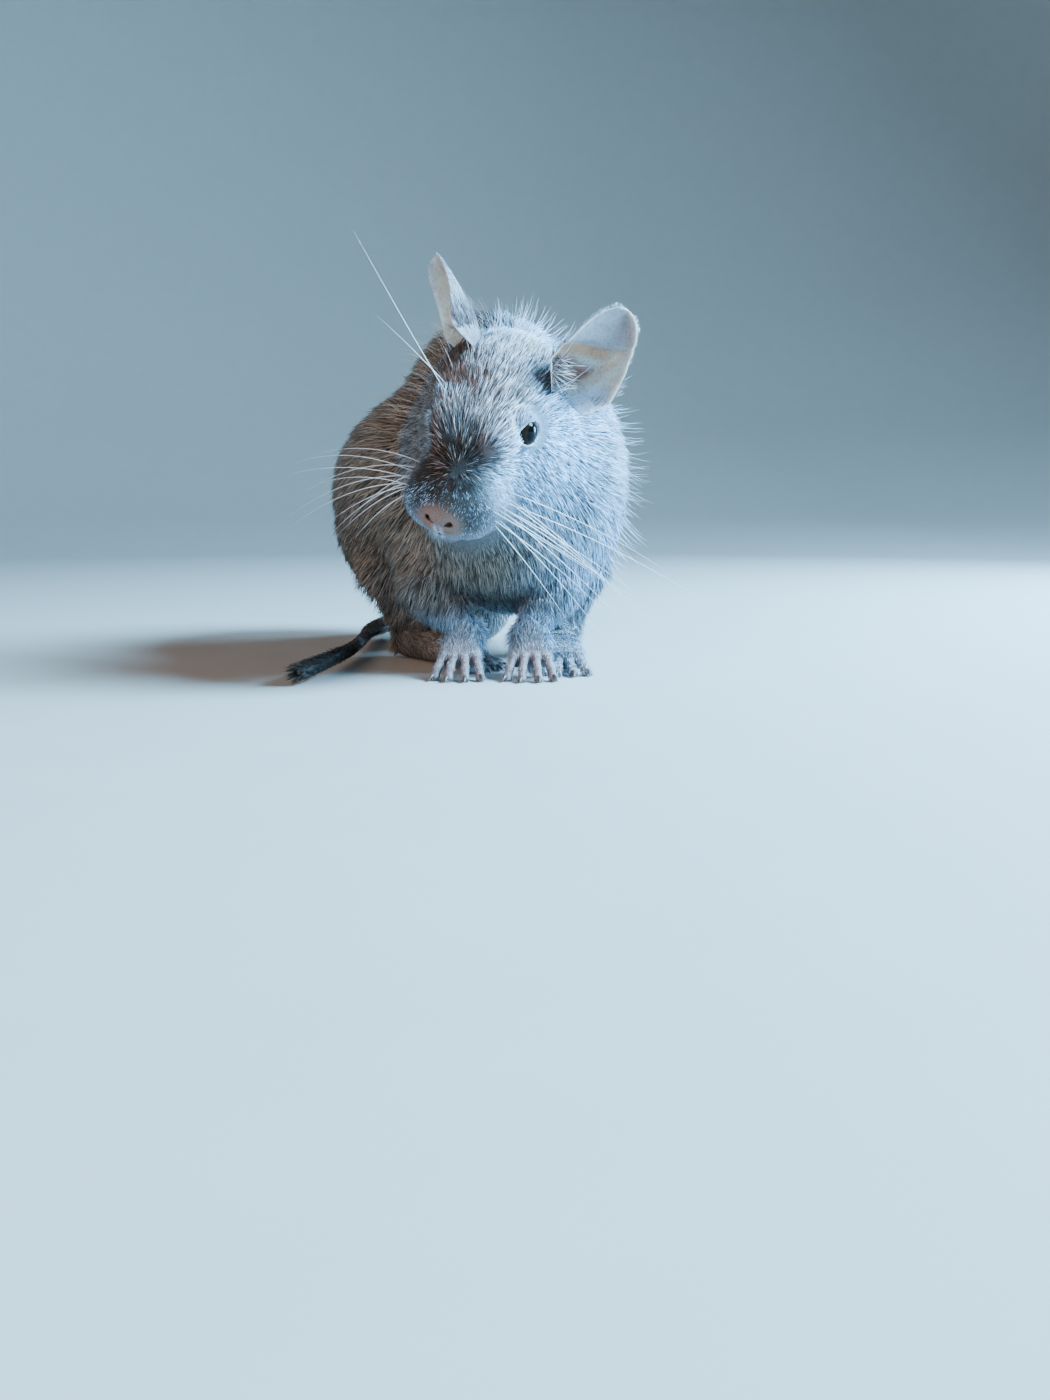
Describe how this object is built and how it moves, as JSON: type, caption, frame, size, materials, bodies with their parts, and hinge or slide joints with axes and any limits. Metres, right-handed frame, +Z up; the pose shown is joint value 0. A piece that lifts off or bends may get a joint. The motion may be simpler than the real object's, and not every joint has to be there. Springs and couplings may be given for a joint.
{
  "type": "degu",
  "caption": "Life-size still model of a blue-grey degu, crouched and hunched with its head turned down to one side, tail laid forward on the floor.",
  "frame": {"origin": "middle of the animal's box at floor level, under the belly", "axes": "the animal faces -Y, its left side is +X, +Z is up from the floor"},
  "size_m": [0.0928, 0.114, 0.0929],
  "materials": {
    "fur": "ticked blue-grey coat, matt with a soft sheen",
    "dark_fur": "dark grey bristly tail hair, matt",
    "bare_skin": "pinkish lilac skin under sparse white hairs",
    "ear_skin": "thin grey-beige ear leather that lets light through",
    "eye": "wet black, glossy",
    "claw": "dark horn with paler tips",
    "whisker": "white stiff hairs"
  },
  "bodies": {
    "root": {"head": "fur", "nose": "bare_skin", "neck": "fur", "trunk": "fur", "eye_left": "eye", "eye_right": "eye", "ear_left": "ear_skin", "ear_right": "ear_skin", "foreleg_left": "fur", "foreleg_right": "fur", "forepaw_left": "bare_skin", "forepaw_right": "bare_skin", "hindleg_left": "fur", "hindleg_right": "fur", "hindfoot_left": "bare_skin", "hindfoot_right": "bare_skin", "tail_base": "dark_fur", "tail_middle": "dark_fur", "tail_tip": "dark_fur"}
  },
  "joints": []
}
